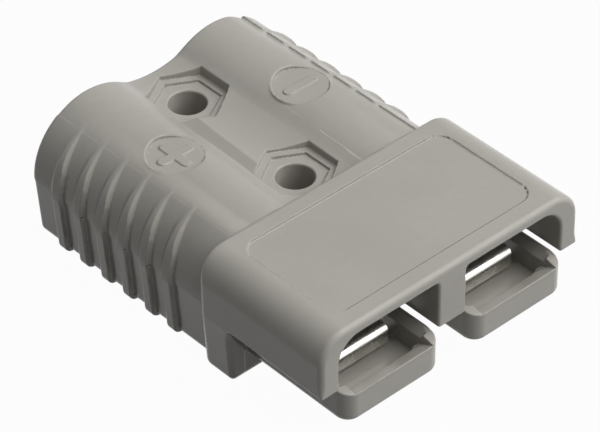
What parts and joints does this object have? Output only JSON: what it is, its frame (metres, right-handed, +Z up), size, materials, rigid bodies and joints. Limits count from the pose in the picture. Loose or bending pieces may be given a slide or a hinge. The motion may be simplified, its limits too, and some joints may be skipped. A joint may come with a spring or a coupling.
{
  "type": "genderless power connector",
  "caption": "Genderless two-pole power connector: grey moulded housing with hood, trays, cable tubes, grip ribs and bolt holes, holding silver-plated contacts on leaf springs.",
  "frame": {"origin": "centre of the bounding box, on the plane of the flat underside", "axes": "+Z up, square to the parting plane; +Y from the mating face to the cable end; +X from the positive pole to the negative pole"},
  "size_m": [0.056, 0.0746, 0.0241],
  "materials": {
    "housing": "satin moulded grey plastic",
    "contact": "silver plating on copper",
    "spring": "rolled stainless spring strip"
  },
  "bodies": {
    "root": {"housing": "housing", "left_contact": "contact", "right_contact": "contact", "left_spring": "spring", "right_spring": "spring"}
  },
  "joints": []
}
